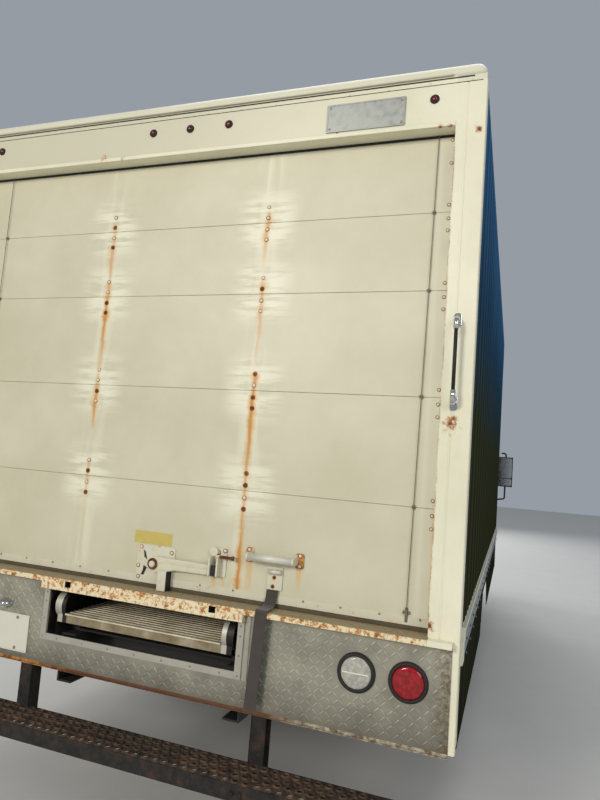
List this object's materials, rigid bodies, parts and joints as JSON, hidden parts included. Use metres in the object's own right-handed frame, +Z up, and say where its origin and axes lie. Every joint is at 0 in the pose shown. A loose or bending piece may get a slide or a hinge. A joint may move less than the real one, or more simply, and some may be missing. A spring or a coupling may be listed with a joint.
{
  "type": "box truck with slide-out loading ramp",
  "caption": "Cab-forward box truck: tilt cab with opening doors, steering, twin rear wheels, freight box with roll-up rear door and a ramp that slides out from under the deck.",
  "frame": {"origin": "on the ground, under the middle of the truck's width and length", "axes": "+Y forward, +X to the truck's right, +Z up"},
  "size_m": [2.72, 6.838, 3.0979],
  "materials": {
    "chassis_paint": "satin",
    "cast_steel": "rough",
    "engine_paint": "matt",
    "tank_metal": "satin",
    "body_paint": "gloss",
    "door_paint": "satin",
    "side_sheet": "gloss",
    "deck_wood": "worn",
    "roof_sheet": "matt",
    "diamond_plate": "weathered",
    "bare_aluminium": "brushed",
    "rusty_steel": "rusted",
    "galvanised_steel": "dull",
    "cable_steel": "dull",
    "lamp_plastic": "gloss",
    "amber_plastic": "gloss",
    "plate_paint": "satin",
    "webbing": "woven",
    "cab_paint": "gloss",
    "black_plastic": "grained",
    "lamp_lens": "clear",
    "window_glass": "clear",
    "seat_cloth": "woven",
    "tyre_rubber": "matt",
    "wheel_paint": "satin"
  },
  "bodies": {
    "truck": {"chassis_frame": "chassis_paint", "leaf_springs": "cast_steel", "rear_axle": "cast_steel", "front_axle": "cast_steel", "drive_shaft": "cast_steel", "engine": "engine_paint", "fuel_tank": "tank_metal", "battery_box": "black_plastic", "exhaust": "galvanised_steel", "front_bumper": "cab_paint", "subframe": "chassis_paint", "cargo_floor": "deck_wood", "side_walls": "side_sheet", "front_wall": "side_sheet", "cargo_roof": "roof_sheet", "body_rails": "body_paint", "side_skirts": "side_sheet", "limb_guards": "black_plastic", "rear_frame": "body_paint", "rear_door": "door_paint", "door_cables": "cable_steel", "door_hardware": "galvanised_steel", "grab_handle": "black_plastic", "rear_apron": "diamond_plate", "rear_lamps": "lamp_plastic", "marker_lamps": "amber_plastic", "number_plate": "plate_paint", "step_bumper": "rusty_steel", "pull_strap": "webbing"},
    "ramp": {"ramp": "bare_aluminium"},
    "cab": {"cab_shell": "cab_paint", "cab_glass": "window_glass", "front_grille": "black_plastic", "headlamps": "lamp_lens", "dashboard": "black_plastic", "seats": "seat_cloth", "seat_bases": "black_plastic", "mirrors": "black_plastic"},
    "steering_wheel": {"steering_wheel": "black_plastic"},
    "left_door": {"left_door": "cab_paint", "left_door_glass": "window_glass"},
    "right_door": {"right_door": "cab_paint", "right_door_glass": "window_glass"},
    "left_knuckle": {"left_knuckle": "cast_steel"},
    "right_knuckle": {"right_knuckle": "cast_steel"},
    "tie_rod": {"tie_rod": "cast_steel"},
    "left_front_wheel": {"left_front_tyre": "tyre_rubber", "left_front_rim": "wheel_paint"},
    "right_front_wheel": {"right_front_tyre": "tyre_rubber", "right_front_rim": "wheel_paint"},
    "left_rear_wheels": {"left_rear_tyre": "tyre_rubber", "left_rear_rim": "wheel_paint"},
    "right_rear_wheels": {"right_rear_tyre": "tyre_rubber", "right_rear_rim": "wheel_paint"}
  },
  "joints": [
    {"name": "ramp_slide", "type": "slide", "parent": "truck", "child": "ramp", "axis": [0, -1, 0], "range_m": [0, 2.9]},
    {"name": "cab_tilt", "type": "hinge", "parent": "truck", "child": "cab", "pos_m": [0, 3.239, 0.7], "axis": [-1, 0, 0], "range_deg": [0, 45]},
    {"name": "left_door_hinge", "type": "hinge", "parent": "cab", "child": "left_door", "pos_m": [-1.034, 3.1775, 1.1], "axis": [0, 0, -1], "range_deg": [0, 70]},
    {"name": "right_door_hinge", "type": "hinge", "parent": "cab", "child": "right_door", "pos_m": [1.034, 3.1775, 1.1], "axis": [0, 0, 1], "range_deg": [0, 70]},
    {"name": "left_steer", "type": "hinge", "parent": "truck", "child": "left_knuckle", "pos_m": [-0.69, 2.314, 0.386], "axis": [0, 0, 1], "range_deg": [-35, 35]},
    {"name": "right_steer", "type": "hinge", "parent": "truck", "child": "right_knuckle", "pos_m": [0.69, 2.314, 0.386], "axis": [0, 0, 1], "range_deg": [-35, 35]},
    {"name": "tie_rod_turn", "type": "hinge", "parent": "left_knuckle", "child": "tie_rod", "pos_m": [-0.69, 2.144, 0.277], "axis": [0, 0, 1], "range_deg": [-35, 35]},
    {"name": "steering_wheel_turn", "type": "hinge", "parent": "cab", "child": "steering_wheel", "pos_m": [-0.43, 2.834, 1.3], "axis": [0, -0.6157, 0.788], "range_deg": [-560, 560]},
    {"name": "left_front_spin", "type": "hinge", "parent": "left_knuckle", "child": "left_front_wheel", "pos_m": [-0.832, 2.314, 0.386], "axis": [-1, 0, 0], "continuous": true},
    {"name": "right_front_spin", "type": "hinge", "parent": "right_knuckle", "child": "right_front_wheel", "pos_m": [0.832, 2.314, 0.386], "axis": [-1, 0, 0], "continuous": true},
    {"name": "left_rear_spin", "type": "hinge", "parent": "truck", "child": "left_rear_wheels", "pos_m": [-0.825, -1.051, 0.386], "axis": [-1, 0, 0], "continuous": true},
    {"name": "right_rear_spin", "type": "hinge", "parent": "truck", "child": "right_rear_wheels", "pos_m": [0.825, -1.051, 0.386], "axis": [-1, 0, 0], "continuous": true}
  ],
  "couplings": [
    {"joint": "right_steer", "follows": "left_steer", "ratio": 1},
    {"joint": "tie_rod_turn", "follows": "left_steer", "ratio": -1},
    {"joint": "steering_wheel_turn", "follows": "left_steer", "ratio": 16}
  ]
}
